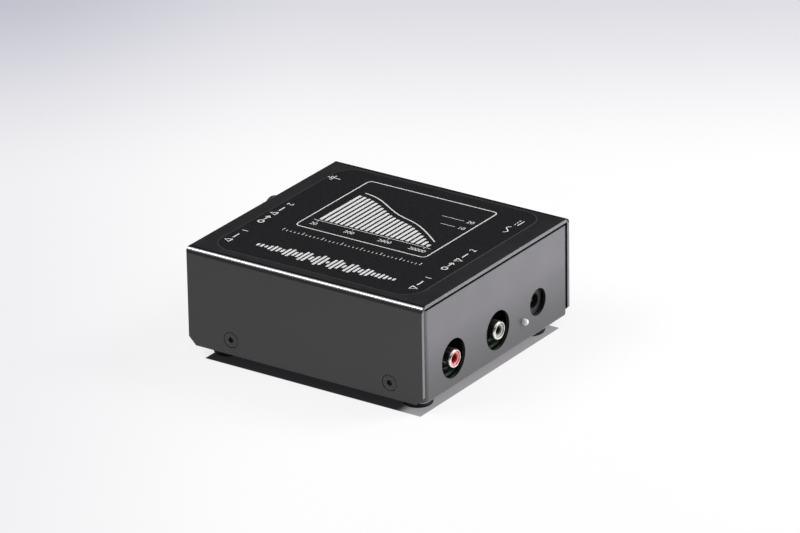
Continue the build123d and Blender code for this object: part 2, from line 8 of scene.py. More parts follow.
import bmesh
import bpy
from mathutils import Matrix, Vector


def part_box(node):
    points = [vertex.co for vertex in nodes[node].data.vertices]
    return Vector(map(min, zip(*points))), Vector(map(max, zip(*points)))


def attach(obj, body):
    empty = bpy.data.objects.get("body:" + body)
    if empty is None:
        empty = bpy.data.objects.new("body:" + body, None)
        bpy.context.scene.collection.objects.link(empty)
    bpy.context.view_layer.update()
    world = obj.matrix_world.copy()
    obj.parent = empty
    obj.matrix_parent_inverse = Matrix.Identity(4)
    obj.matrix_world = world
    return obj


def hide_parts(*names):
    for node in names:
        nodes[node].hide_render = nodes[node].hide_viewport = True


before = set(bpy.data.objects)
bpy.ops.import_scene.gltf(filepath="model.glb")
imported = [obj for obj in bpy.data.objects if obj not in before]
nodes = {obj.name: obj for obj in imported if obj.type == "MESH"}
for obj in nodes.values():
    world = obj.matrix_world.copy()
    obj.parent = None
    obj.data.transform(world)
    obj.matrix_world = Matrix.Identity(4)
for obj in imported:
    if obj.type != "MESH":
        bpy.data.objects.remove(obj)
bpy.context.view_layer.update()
mm = 0.001

# ---- camera ----------------------------------------------------------------
# A long lens looks down on the corner between the label's near side and the
# output panel, rolled by less than a degree.
bpy.ops.object.camera_add(
    location=(1.3596, -1.94702, 1.06848),
    rotation=[math.radians(turn) for turn in (66.382, 0.871, 34.151)],
)
camera = bpy.context.object
camera.data.lens = 273.81
camera.data.sensor_width = 36
camera.data.shift_x, camera.data.shift_y = -0.3 / 800, -0.5 / 800
camera.data.clip_end = 60
bpy.context.scene.camera = camera
bpy.context.scene.view_settings.view_transform = "Standard"


# ---- floor and studio --------------------------------------------------------
# A sheet of pale board, painted with light that falls off to a cool grey behind
# the case.  It is lit softly, and lifted towards white for the lens and for gloss.
class Wire:
    """One output in a shader tree.  Arithmetic on it adds Math nodes."""

    def __init__(self, socket):
        self.socket = socket

    def add(self, kind, settings, sockets, out=0):
        """Adds a node, sets it up, feeds its sockets, and gives one of its outputs."""
        node = self.socket.id_data.nodes.new("ShaderNode" + kind)
        for name, value in settings.items():
            setattr(node, name, value)
        for name, value in sockets.items():
            if isinstance(value, Wire):
                self.socket.id_data.links.new(value.socket, node.inputs[name])
            else:
                node.inputs[name].default_value = value
        return Wire(node.outputs[out])

    def math(self, operation, *others):
        return self.add("Math", {"operation": operation}, dict(enumerate((self, *others))))

    def __add__(self, other):
        return self.math("ADD", other)

    def __sub__(self, other):
        return self.math("SUBTRACT", other)

    def __rsub__(self, other):
        return self.add("Math", {"operation": "SUBTRACT"}, {0: other, 1: self})

    def __mul__(self, other):
        return self.math("MULTIPLY", other)

    def __truediv__(self, other):
        return self.math("DIVIDE", other)

    def __gt__(self, other):
        return self.math("GREATER_THAN", other)

    def __lt__(self, other):
        return self.math("LESS_THAN", other)

    def __abs__(self):
        return self.math("ABSOLUTE")

    __radd__, __rmul__ = __add__, __mul__

    def ramp(self, start, end, low=0.0, high=1.0):
        """A smooth step from low to high as the value goes from start to end."""
        sockets = {"Value": self, "From Min": start, "From Max": end, "To Min": low, "To Max": high}
        return self.add("MapRange", {"interpolation_type": "SMOOTHSTEP"}, sockets)

    def between(self, low, high, edge):
        """1 from low to high, 0 outside, with soft edges of this width outwards."""
        return self.ramp(low - edge, low) * self.ramp(high, high + edge, 1.0, 0.0)

    def colour(self, low, high):
        """Goes from one colour to another as the value goes from 0 to 1."""
        ends = [end if isinstance(end, Wire) else (*end, 1.0) for end in (low, high)]
        return self.add("Mix", {"data_type": "RGBA"}, {0: self, 6: ends[0], 7: ends[1]}, out=2)

    def noise(self, scale, detail=2.0, roughness=0.5):
        sockets = {"Vector": self, "Scale": scale, "Detail": detail, "Roughness": roughness}
        return self.add("TexNoise", {}, sockets)

    def axis(self, name):
        return self.add("SeparateXYZ", {}, {0: self}, out="XYZ".index(name))

    def off_line(self, y, z):
        """Distance from the line along X through this Y and Z."""
        flat = self.add("VectorMath", {"operation": "MULTIPLY"}, {0: self, 1: (0.0, 1.0, 1.0)})
        return self.add("VectorMath", {"operation": "DISTANCE"}, {0: flat, 1: (0.0, y, z)}, out="Value")

    def to(self, node, socket):
        self.socket.id_data.links.new(self.socket, node.inputs[socket])


def new_finish(name, **constants):
    """A material, its surface shader with these constants, and its Object coordinates."""
    material = bpy.data.materials.new(name)
    material.use_nodes = True
    surface = material.node_tree.nodes["Principled BSDF"]
    for socket, value in constants.items():
        surface.inputs[socket.replace("_", " ")].default_value = value
    place = material.node_tree.nodes.new("ShaderNodeTexCoord")
    return material, surface, Wire(place.outputs["Object"])


def bump(surface, height, depth, strength=1.0):
    """Feeds the shader's normal from a height of 0 to 1, this deep in metres."""
    sockets = {"Height": height, "Distance": depth, "Strength": strength}
    height.add("Bump", {}, sockets).to(surface, "Normal")


# Behind and aside run along the floor, away from the lens and to its left.  Under
# the case a painted shadow is nearly black, lifted to grey by painted light where
# light from +X gets in.
bpy.ops.mesh.primitive_plane_add(size=8)
floor = bpy.context.object
floor.name = "floor"
floor_paint, floor_surface, at = new_finish("pale_board", Roughness=0.9, Specular_IOR_Level=0.1)
behind = at.axis("X") * -0.56 + at.axis("Y") * 0.83
aside = at.axis("X") * -0.83 + at.axis("Y") * -0.56
far, left = behind.ramp(0.16, 0.46), aside.ramp(0.02, 0.19)
# Painted fall-off of light: darker and cooler away from the lens and to its left.
painted_falloff = far * 0.31 + left * 0.12 + far * left * 0.06
# Where the painted shadow under the case lies.
under = at.axis("X").between(-40.9 * mm, 68.7 * mm, 0.6 * mm)
under = under * at.axis("Y").between(-58.2 * mm, 47.5 * mm, 0.6 * mm)
low_light = at.axis("X").ramp(56.0 * mm, 62.5 * mm)
shade = low_light.colour((0.020, 0.019, 0.021), (0.33, 0.32, 0.335))
tint = under.colour(painted_falloff.colour((0.96, 0.96, 0.96), (-0.04, -0.10, 0.14)), shade)
tint.to(floor_surface, "Base Color")
ray = floor_paint.node_tree.nodes.new("ShaderNodeLightPath")
seen = Wire(ray.outputs["Is Camera Ray"]) + Wire(ray.outputs["Is Glossy Ray"])
seen = seen + Wire(ray.outputs["Is Transmission Ray"])
pale = under.colour(painted_falloff.colour((1.0, 1.0, 1.0), (0.0, -0.06, 0.18)), shade)
glow = pale.add("Emission", {}, {"Color": pale, "Strength": 1.0})
blend = seen.add("MixShader", {}, {0: seen * 0.8, 1: Wire(floor_surface.outputs[0]), 2: glow})
blend.to(floor_paint.node_tree.nodes["Material Output"], "Surface")
floor.data.materials.append(floor_paint)

world = bpy.data.worlds.new("studio")
world.use_nodes = True
bpy.context.scene.world = world
backdrop = world.node_tree.nodes["Background"]
sky = Wire(world.node_tree.nodes.new("ShaderNodeTexCoord").outputs["Generated"])
overhead = sky.axis("Z").ramp(0.60, 0.90)
room = overhead.colour((0.055, 0.055, 0.060), (0.80, 0.80, 0.82))
ray = world.node_tree.nodes.new("ShaderNodeLightPath")
lens = Wire(ray.outputs["Is Camera Ray"])
lens.colour(room, (0.88, 0.88, 0.91)).to(backdrop, "Color")


def softbox(name, toward, distance, width, depth, level):
    """An area lamp that faces the case from this direction, with this radiance."""
    away = Vector(toward).normalized()
    turn = away.to_track_quat("Z", "Y").to_euler()
    bpy.ops.object.light_add(type="AREA", location=away * distance, rotation=turn)
    lamp = bpy.context.object
    lamp.name = name
    lamp.data.shape = "RECTANGLE"
    lamp.data.size, lamp.data.size_y = width, depth
    lamp.data.energy = level * math.pi * width * depth


softbox("key", (0.60, 0.65, 0.75), 2.2, 0.9, 0.9, 8.0)
softbox("fold_strip", (-0.517, -0.397, 0.758), 2.0, 1.5, 0.45, 8.0)
softbox("side_fill", (0.80, 0.55, 0.20), 0.6, 0.42, 0.20, 4.6)


# ---- chassis -----------------------------------------------------------------
# One sheet of 1.5 mm steel folded to a tray: floor, two end panels with return
# flanges, and two long lips.  Punched, folded and powder coated black.
def leave_edit_mode():
    if bpy.context.object and bpy.context.object.mode == "EDIT":
        bpy.ops.object.mode_set(mode="OBJECT")


def pick(*pieces):
    """Leaves only these pieces selected, in object mode, the first one active."""
    leave_edit_mode()
    bpy.ops.object.select_all(action="DESELECT")
    for piece in pieces:
        piece.select_set(True)
    bpy.context.view_layer.objects.active = pieces[0]
    return pieces[0]


def choose(piece, kind, test):
    """In edit mode, leaves selected only the faces, edges or verts that pass."""
    pick(piece)
    bpy.ops.object.mode_set(mode="EDIT")
    bpy.ops.mesh.select_mode(type=kind)
    bpy.ops.mesh.select_all(action="DESELECT")
    shape = bmesh.from_edit_mesh(piece.data)
    for part in {"FACE": shape.faces, "EDGE": shape.edges, "VERT": shape.verts}[kind]:
        if test(part):
            part.select_set(True)
    bmesh.update_edit_mesh(piece.data)


def run(edge):
    """How far an edge runs along each axis."""
    first, last = (vertex.co for vertex in edge.verts)
    return Vector(abs(step) for step in last - first)


def lowest(edge):
    return min(vertex.co.z for vertex in edge.verts)


def new_block(name, low, high):
    """A cube primitive between two corners, with its place in its mesh."""
    leave_edit_mode()
    low, high = Vector(low), Vector(high)
    bpy.ops.mesh.primitive_cube_add(size=1, location=(low + high) / 2, scale=high - low)
    made = pick(bpy.context.object)
    made.name = name
    bpy.ops.object.transform_apply(location=True, rotation=True, scale=True)
    return made


def new_rod(name, radius, start, end, steps=64):
    """A cylinder primitive from one point to another, with its place in its mesh."""
    leave_edit_mode()
    start, end = Vector(start), Vector(end)
    turn = (end - start).to_track_quat("Z", "Y").to_euler()
    bpy.ops.mesh.primitive_cylinder_add(
        vertices=steps, radius=radius, depth=(end - start).length, location=(start + end) / 2, rotation=turn
    )
    made = pick(bpy.context.object)
    made.name = name
    bpy.ops.object.transform_apply(location=True, rotation=True, scale=True)
    return made


def apply_modifier(piece, kind, **settings):
    """Adds one modifier, sets it up and applies it."""
    pick(piece)
    modifier = piece.modifiers.new(kind.lower(), kind)
    for name, value in settings.items():
        setattr(modifier, name, value)
    bpy.ops.object.modifier_apply(modifier=modifier.name)


def soften(piece, width, angle=30, segments=2):
    """Rounds every edge sharper than this angle in degrees."""
    settings = {"limit_method": "ANGLE", "angle_limit": math.radians(angle)}
    apply_modifier(piece, "BEVEL", width=width, segments=segments, **settings)


def cut_out(piece, *cutters):
    """Cuts each cutter out of the piece and throws the cutter away."""
    for cutter in cutters:
        apply_modifier(piece, "BOOLEAN", object=cutter, operation="DIFFERENCE", solver="EXACT")
        bpy.data.objects.remove(cutter)


def join(*pieces):
    """Makes one piece of several, named as the first."""
    pick(*pieces)
    bpy.ops.object.join()
    return pieces[0]


def finished(piece, finish, body, *stands_for, slot, smooth=32):
    """Gives a shaped piece its shading, finish, body and the nodes it stands for."""
    pick(piece)
    bpy.ops.object.transform_apply(location=True, rotation=True, scale=True)
    bpy.ops.object.shade_smooth_by_angle(angle=math.radians(smooth))
    apply_modifier(piece, "WEIGHTED_NORMAL", keep_sharp=True, weight=100)
    piece.data.materials.clear()
    piece.data.materials.append(finish)
    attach(piece, body)
    if stands_for:
        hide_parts(*stands_for)


def dress(finish, *names):
    """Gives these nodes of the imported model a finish."""
    for name in names:
        materials = nodes[name].data.materials
        materials.clear()
        materials.append(finish)


# Middles and radii of the panels' holes.
jack_y, jack_z, jack_hole = (-32.7 * mm, 0.9 * mm), 16.7 * mm, 8.75 * mm
lamp_y, lamp_z, lamp_hole = 20.9 * mm, 13.0 * mm, 1.7 * mm
inlet_y, inlet_z, inlet_hole = 31.8 * mm, 18.1 * mm, 6.1 * mm
post_y, post_z, post_hole = 32.3 * mm, 29.2 * mm, 3.9 * mm


def powder(name, **constants):
    """Black powder coat: a material, its shader and coordinates, and two noises.

    They are the coat's soft mottle and its orange peel.
    """
    finish, surface, at = new_finish(name, **constants)
    mottle, peel = at.noise(70.0, 3.0, 0.6).ramp(0.30, 0.70), at.noise(1300.0, 2.0)
    bump(surface, peel, 0.00002, 0.5)
    return finish, surface, at, mottle, peel


def near_ends(at, low, high, skin):
    """1 within this skin of a box's two X ends, 0 further in."""
    half = (high.x - low.x) / 2
    return abs(at.axis("X") - (low.x + high.x) / 2).ramp(half - skin, half - skin * 0.8)


def dusty(at, coat):
    """The coat with a few pale specks of dust on it."""
    cell = at.add("TexVoronoi", {}, {"Vector": at, "Scale": 190.0})
    chance = at.add("TexVoronoi", {}, {"Vector": at, "Scale": 190.0}, out="Color").axis("X")
    speck = (cell < 0.045) * (chance > 0.90)
    return (speck * 0.5).colour(coat, (0.45, 0.45, 0.45))


# The two panels carry a painted sheen, greyer than the rest and more so upwards,
# with painted shade towards the near bend.  The walls of their holes stay black,
# and the bend under each panel has a painted highlight.
black_tones = (0.0095, 0.0092, 0.0100), (0.0135, 0.0130, 0.0140)
low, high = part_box("chassis")
panel_skin, hole_rim, top_edge = 3.4 * mm, 0.06 * mm, 0.3 * mm
powder_panel, surface, at, mottle, peel = powder(
    "black_panel_painted_sheen", Coat_Weight=0.5, Coat_IOR=1.8, Coat_Roughness=0.3
)
# Painted sheen on the two panels, kept off the walls of their holes and the top edge.
painted_sheen = near_ends(at, low, high, panel_skin) * (at.axis("Z") < high.z - top_edge)
input_end = at.axis("X") < 0.0
for hole, y, z, one_end in ((jack_hole, jack_y[0], jack_z, 0.0), (jack_hole, jack_y[1], jack_z, 0.0),
                            (lamp_hole, lamp_y, lamp_z, 1.0), (inlet_hole, inlet_y, inlet_z, 1.0)):
    painted_sheen = painted_sheen * (input_end * one_end + at.off_line(y, z) > hole + hole_rim)
# Painted shading: darker towards the bottom and towards the near bend.
painted_shading = at.axis("Z").ramp(low.z, high.z, 0.30, 1.24)
painted_shading = painted_shading * at.axis("Y").ramp(low.y, low.y + panel_skin, 0.1, 1.0)
sheen_grey = mottle.colour((0.140, 0.133, 0.151), (0.158, 0.150, 0.170))
coat = dusty(at, (painted_sheen * painted_shading).colour(mottle.colour(*black_tones), sheen_grey))
# A painted highlight along the bend under each panel.
painted_bend_highlight = at.axis("Z").ramp(low.z + 1.05 * mm, low.z + 0.65 * mm) * painted_sheen
painted_bend_highlight.colour(coat, (0.46, 0.45, 0.47)).to(surface, "Base Color")
(mottle * 0.06 + peel * 0.10 + 0.38).to(surface, "Roughness")

sheet = 1.5 * mm
near_bend, far_bend, floor_bend = 3.2 * mm, 1.6 * mm, 1.7 * mm
flange, lip_top, past = 8.0 * mm, low.z + 13.9 * mm, 3.0 * mm
relief, relief_inset = 0.8 * mm, 5.1 * mm
screw_x, screw_z, screw_hole = (low.x + 16.5 * mm, high.x - 16.5 * mm), 10.45 * mm, 2.05 * mm
window_x, window_y, half_x, half_y = -9.1 * mm, (-24.0 * mm, 24.0 * mm), 6.58 * mm, 3.6 * mm

chassis = new_block("tray", low, high)
for bend, way in ((near_bend, -1), (far_bend, 1)):
    choose(chassis, "EDGE", lambda e: run(e).z > mm and e.verts[0].co.y * way > 0)
    bpy.ops.mesh.bevel(offset=bend, segments=8, affect="EDGES")
choose(chassis, "EDGE", lambda e: max(vertex.co.z for vertex in e.verts) < low.z + 0.01 * mm)
bpy.ops.mesh.bevel(offset=floor_bend, segments=5, affect="EDGES")
choose(chassis, "FACE", lambda f: f.normal.z > 0.9)
bpy.ops.mesh.delete(type="FACE")
apply_modifier(chassis, "SOLIDIFY", thickness=sheet, offset=-1, use_even_offset=True)

cutters = [new_block("above_lips", (low.x + flange, low.y - mm, lip_top),
                     (high.x - flange, high.y + mm, high.z + mm))]
for y in jack_y:
    for x in (low.x, high.x):
        cutters.append(new_rod("jack_hole", jack_hole, (x - past, y, jack_z), (x + past, y, jack_z), 96))
for hole, x, y, z in ((lamp_hole, high.x, lamp_y, lamp_z), (inlet_hole, high.x, inlet_y, inlet_z),
                      (post_hole, low.x, post_y, post_z)):
    cutters.append(new_rod("panel_hole", hole, (x - past, y, z), (x + past, y, z)))
for x in (low.x + relief_inset, high.x - relief_inset):
    for y in (low.y + sheet / 2, high.y - sheet / 2):
        cutters.append(new_rod("relief", relief, (x, y, low.z - mm), (x, y, low.z + floor_bend), 24))
for x in screw_x:
    start, end = (x, low.y - mm, screw_z), (x, high.y + mm, screw_z)
    cutters.append(new_rod("screw_hole", screw_hole, start, end, 32))
for y in window_y:
    window = new_block("window", (window_x - half_x, y - half_y, low.z - mm),
                       (window_x + half_x, y + half_y, low.z + 4 * mm))
    choose(window, "EDGE", lambda e: run(e).z > mm)
    bpy.ops.mesh.bevel(offset=0.5 * mm, segments=3, affect="EDGES")
    cutters.append(window)
cut_out(chassis, *cutters)
soften(chassis, 0.12 * mm, 40)
finished(chassis, powder_panel, "case", "chassis", slot="black_steel")


# ---- feet --------------------------------------------------------------------
# Four moulded rubber feet with a rounded rim and a dimple underneath, stuck to
# the tray's floor.
def turned(name, profile, centre, toward, steps):
    """Draws a profile of (along, out) in mm as a line of points, and spins it.

    It runs from the centre toward the given direction.  A profile that ends
    where it began makes a ring.
    """
    toward = Vector(toward).normalized()
    out = Vector((0, 0, 1)) if abs(toward.z) < 0.5 else Vector((1, 0, 0))
    centre = Vector(centre)
    points = [centre + toward * along * mm + out * reach * mm for along, reach in profile]
    leave_edit_mode()
    bpy.ops.mesh.primitive_plane_add(size=mm, location=points[0])
    made = pick(bpy.context.object)
    made.name = name
    bpy.ops.object.transform_apply(location=True, rotation=True, scale=True)
    bpy.ops.object.mode_set(mode="EDIT")
    bpy.ops.mesh.select_mode(type="VERT")
    bpy.ops.mesh.select_all(action="SELECT")
    bpy.ops.mesh.merge(type="CENTER")
    for before, after in zip(points, points[1:]):
        bpy.ops.mesh.extrude_vertices_move(TRANSFORM_OT_translate={"value": after - before})
    bpy.ops.mesh.select_all(action="SELECT")
    bpy.ops.mesh.spin(steps=steps, angle=math.tau, center=centre, axis=toward)
    bpy.ops.mesh.select_all(action="SELECT")
    bpy.ops.mesh.remove_doubles(threshold=mm / 2000)
    bpy.ops.mesh.normals_make_consistent(inside=False)
    bpy.ops.object.mode_set(mode="OBJECT")
    return made


def arc(along, out, radius, start, end, steps=6):
    """Profile points round a corner, from one angle to another, in degrees."""
    turns = [math.radians(start + (end - start) * i / steps) for i in range(steps + 1)]
    return [(along + radius * math.cos(turn), out + radius * math.sin(turn)) for turn in turns]


rubber, surface, at = new_finish("foot_rubber", Specular_IOR_Level=0.35)
bloom = at.noise(500.0, 4.0, 0.7)
bloom.ramp(0.35, 0.75).colour((0.010, 0.010, 0.010), (0.030, 0.030, 0.031)).to(surface, "Base Color")
bloom.ramp(0.2, 0.8, 0.62, 0.85).to(surface, "Roughness")
bump(surface, at.noise(2600.0, 2.0), 0.00003, 0.6)
for name in ("foot_input_near", "foot_input_far", "foot_output_near", "foot_output_far"):
    low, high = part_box(name)
    middle = (low + high) / 2
    rim = [(0, 0), (0, 6.5), *arc(2.2, 5.6, 0.9, 90, 0), (3.1, 2.7), (2.95, 2.4), (1.9, 2.4), (1.9, 0)]
    foot = turned(name + "_rubber", rim, (middle.x, middle.y, high.z), (0, 0, -1), 72)
    finished(foot, rubber, "case", name, slot="foot_rubber")


# ---- press nuts, standoffs and board screws ----------------------------------
# Plated steel fixings: nuts pressed into the lips for the cover screws, and
# closed hexagonal standoffs with cross-recess screws for the board.
zinc, surface, at = new_finish("zinc_plate", Metallic=1.0)
haze = at.noise(420.0, 4.0, 0.65)
haze.ramp(0.3, 0.7).colour((0.50, 0.51, 0.53), (0.66, 0.67, 0.68)).to(surface, "Base Color")
haze.ramp(0.2, 0.8, 0.24, 0.42).to(surface, "Roughness")
bump(surface, at.noise(3000.0, 2.0), 0.00001, 0.5)
dress(zinc, "press_nuts", "board_standoffs", "board_screws")


# ---- circuit board -----------------------------------------------------------
# Glass-fibre laminate with copper tracks under a solder mask of nearly black
# green.  It stands on the standoffs with its parts soldered through it.
laminate, surface, at = new_finish("board_laminate")
x, y = at.axis("X"), at.axis("Y")


def stripes(value, pitch, width):
    """1 on stripes of this width, repeated at this pitch, 0 between them."""
    along = (value / pitch).math("FRACT")
    return abs(along - 0.5) < (width / pitch / 2)


def bands(value, middles, width):
    """1 within this width of any of these places, 0 elsewhere."""
    found = abs(value - middles[0]) < (width / 2)
    for middle in middles[1:]:
        found = found.math("MAXIMUM", abs(value - middle) < (width / 2))
    return found


pitch, track_width = 2.54 * mm, 0.7 * mm
cells = at.add("VectorMath", {"operation": "SNAP"}, {0: at, 1: (4 * pitch, 3 * pitch, 1.0)})
lay = at.add("TexWhiteNoise", {"noise_dimensions": "3D"}, {"Vector": cells})
track_x = stripes(y, pitch, track_width) * (lay > 0.45)
track_y = stripes(x, pitch, track_width) * (lay < 0.40)
track = track_x.math("MAXIMUM", track_y)
weave = stripes(x, 0.6 * mm, 0.3 * mm) * 0.5 + stripes(y, 0.6 * mm, 0.3 * mm) * 0.5
bare = weave.colour((0.004, 0.013, 0.008), (0.006, 0.017, 0.010))
masked = track.colour(bare, (0.010, 0.026, 0.016))
beside_jacks = [jack + 2.25 * mm for jack in jack_y]
# A pale grey-green bar on the board beside each jack.
pale_board_mark = bands(x, [62.95 * mm], 1.3 * mm) * bands(y, beside_jacks, 2.9 * mm)
pale_board_mark.colour(masked, (0.20, 0.22, 0.19)).to(surface, "Base Color")
(weave * 0.08 + 0.30).to(surface, "Roughness")
bump(surface, track, 0.00004, 0.8)
dress(laminate, "circuit_board")


# ---- signal parts ------------------------------------------------------------
# Amplifier chips in sockets, film and can capacitors and rows of resistors,
# in pairs on the two channels' centre lines.
moulded, surface, at = new_finish("black_moulding")
grit = at.noise(1800.0, 3.0, 0.6)
grit.ramp(0.3, 0.7).colour((0.012, 0.012, 0.013), (0.022, 0.022, 0.023)).to(surface, "Base Color")
grit.ramp(0.2, 0.8, 0.38, 0.55).to(surface, "Roughness")
bump(surface, grit, 0.00002, 0.6)
dress(moulded, "chip_sockets", "amplifier_chips")

film_wrap, surface, at = new_finish("red_film_capacitor", Coat_Weight=0.4, Coat_Roughness=0.2)
swirl = at.noise(260.0, 3.0)
swirl.ramp(0.3, 0.7).colour((0.36, 0.030, 0.022), (0.48, 0.050, 0.034)).to(surface, "Base Color")
swirl.ramp(0.2, 0.8, 0.28, 0.42).to(surface, "Roughness")
dress(film_wrap, "film_capacitors")

rows = [y + side * 6.0 * mm for y in jack_y for side in (-1, 1)]
lacquer, surface, at = new_finish("resistor_lacquer", Coat_Weight=0.3, Coat_Roughness=0.15)
y = at.axis("Y")
body = bands(y, rows, 6.3 * mm) * (at.axis("Z") > 10.5 * mm)
ringed = body.colour((0.62, 0.60, 0.56), (0.16, 0.42, 0.56))
for step, ink in ((-2.2, (0.30, 0.10, 0.02)), (-1.1, (0.01, 0.01, 0.01)), (0.0, (0.02, 0.02, 0.01)),
                  (1.1, (0.45, 0.03, 0.02)), (2.4, (0.26, 0.09, 0.02))):
    ringed = (bands(y, [row + step * mm for row in rows], 0.55 * mm) * body).colour(ringed, ink)
ringed.to(surface, "Base Color")
(1 - body).to(surface, "Metallic")
at.noise(600.0).ramp(0.2, 0.8, 0.25, 0.40).to(surface, "Roughness")
dress(lacquer, "resistors")

sleeve_wrap, surface, at = new_finish("capacitor_sleeve")
crown = bands(at.axis("Z"), [20.9 * mm, 34.9 * mm], 0.5 * mm)
stripe = stripes(at.axis("X") + at.axis("Y") * 0.4, 9.0 * mm, 1.6 * mm)
wrap = stripe.colour((0.014, 0.016, 0.030), (0.40, 0.42, 0.44))
crown.colour(wrap, (0.62, 0.62, 0.63)).to(surface, "Base Color")
crown.to(surface, "Metallic")
at.noise(500.0, 3.0).ramp(0.2, 0.8, 0.22, 0.38).to(surface, "Roughness")
dress(sleeve_wrap, "small_capacitors", "reservoir_capacitor_1", "reservoir_capacitor_2")


# ---- power parts ---------------------------------------------------------------
# Rectifier diodes with a pale cathode band, and two regulators with plated tabs.
glassy, surface, at = new_finish("diode_body")
y = at.axis("Y")
low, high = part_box("rectifier_diodes")
middle = (low.y + high.y) / 2
body = bands(y, [middle], 5.2 * mm) * (at.axis("Z") > 10.4 * mm)
cathode = bands(y, [middle + 1.6 * mm], 0.8 * mm) * body
bodies = body.colour((0.62, 0.60, 0.56), (0.015, 0.015, 0.016))
cathode.colour(bodies, (0.55, 0.55, 0.55)).to(surface, "Base Color")
(1 - body).to(surface, "Metallic")
at.noise(900.0).ramp(0.2, 0.8, 0.30, 0.48).to(surface, "Roughness")
dress(glassy, "rectifier_diodes")

for name in ("positive_regulator", "negative_regulator"):
    low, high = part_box(name)
    case_plastic, surface, at = new_finish(name + "_finish")
    tab, legs = at.axis("Y") > (high.y - 1.3 * mm), at.axis("Z") < 13.5 * mm
    metal = tab.math("MAXIMUM", legs)
    brushed = at.noise(900.0, 3.0)
    metal.colour((0.014, 0.014, 0.015), (0.55, 0.55, 0.54)).to(surface, "Base Color")
    metal.to(surface, "Metallic")
    brushed.ramp(0.2, 0.8, 0.28, 0.50).to(surface, "Roughness")
    dress(case_plastic, name)


# ---- setting switches --------------------------------------------------------
# Two banks of four slide switches for gain and load, hung under the board and
# looked at through the tray's windows: red bodies with white sliders.
switch_red, surface, at = new_finish("switch_red")
grain = at.noise(1200.0, 3.0)
grain.ramp(0.3, 0.7).colour((0.40, 0.018, 0.014), (0.50, 0.030, 0.022)).to(surface, "Base Color")
grain.ramp(0.2, 0.8, 0.35, 0.50).to(surface, "Roughness")
bump(surface, grain, 0.00001, 0.6)
switch_white, surface, at = new_finish("switch_white")
grain = at.noise(1500.0, 2.0)
grain.ramp(0.3, 0.7).colour((0.72, 0.71, 0.68), (0.82, 0.81, 0.78)).to(surface, "Base Color")
grain.ramp(0.2, 0.8, 0.32, 0.48).to(surface, "Roughness")
for bank in (1, 2):
    dress(switch_red, f"switch_bank_{bank}")
    dress(switch_white, *(f"switch_{bank}_slider_{way}" for way in (1, 2, 3, 4)))


# ---- phono jacks ---------------------------------------------------------------
# Turned sleeves of pale gilt with a soldered square flange, inserts in red for
# the right channel and white for the left, contacts painted dark as the shade in
# the bores, and black blocks.
plated, surface, at = new_finish("pale_gilt", Metallic=1.0)
haze = at.noise(700.0, 3.0)
haze.ramp(0.3, 0.7).colour((0.97, 0.93, 0.83), (0.99, 0.96, 0.88)).to(surface, "Base Color")
haze.ramp(0.2, 0.8, 0.24, 0.36).to(surface, "Roughness")
nickel, surface, at = new_finish("nickel_plate", Metallic=1.0)
haze = at.noise(700.0, 3.0)
haze.ramp(0.3, 0.7).colour((0.66, 0.65, 0.62), (0.76, 0.75, 0.72)).to(surface, "Base Color")
haze.ramp(0.2, 0.8, 0.16, 0.30).to(surface, "Roughness")
tinned, surface, at = new_finish("tinned_wire", Metallic=1.0)
haze = at.noise(900.0, 3.0)
haze.ramp(0.3, 0.7).colour((0.60, 0.60, 0.60), (0.74, 0.74, 0.73)).to(surface, "Base Color")
haze.ramp(0.2, 0.8, 0.25, 0.45).to(surface, "Roughness")


def ring_plastic(name, dark, light, bore):
    """Glossy moulded plastic of the jack inserts, a little cloudy, with painted shade down the bore."""
    finish, surface, at = new_finish(name, Coat_Weight=0.5, Coat_Roughness=0.08, Specular_IOR_Level=0.6)
    cloud = at.noise(900.0, 3.0)
    nearer = at.off_line(jack_y[0], jack_z).math("MINIMUM", at.off_line(jack_y[1], jack_z))
    clouded = cloud.ramp(0.3, 0.7).colour(dark, light)
    nearer.ramp(2.1 * mm, 2.5 * mm).colour(bore, clouded).to(surface, "Base Color")
    cloud.ramp(0.2, 0.8, 0.20, 0.34).to(surface, "Roughness")
    return finish


def moulded_block(name, low, high):
    """A block with its upper edges chamfered."""
    block = new_block(name, low, high)
    choose(block, "EDGE", lambda e: lowest(e) > high.z - 0.1 * mm)
    bpy.ops.mesh.bevel(offset=0.7 * mm, segments=1, affect="EDGES")
    return block


# The third colour of each insert is painted shade for its bore.
insert_finish = {
    "right": ring_plastic("red_insert", (0.86, 0.24, 0.24), (0.92, 0.34, 0.33), (0.50, 0.006, 0.008)),
    "left": ring_plastic("white_insert", (0.42, 0.43, 0.43), (0.56, 0.57, 0.57), (0.24, 0.24, 0.23)),
}
# The contacts are painted shade: near black, and dark red behind the red insert.
contact_finish = {}
for channel, deep_shade, lighter_shade in (("right", (0.30, 0.004, 0.004), (0.42, 0.012, 0.010)),
                              ("left", (0.012, 0.011, 0.009), (0.055, 0.048, 0.035))):
    contact_finish[channel], surface, at = new_finish(channel + "_contact", Metallic=0.2)
    shade_mottle = at.noise(800.0, 3.0)
    shade_mottle.ramp(0.3, 0.7).colour(deep_shade, lighter_shade).to(surface, "Base Color")
    shade_mottle.ramp(0.2, 0.8, 0.35, 0.60).to(surface, "Roughness")

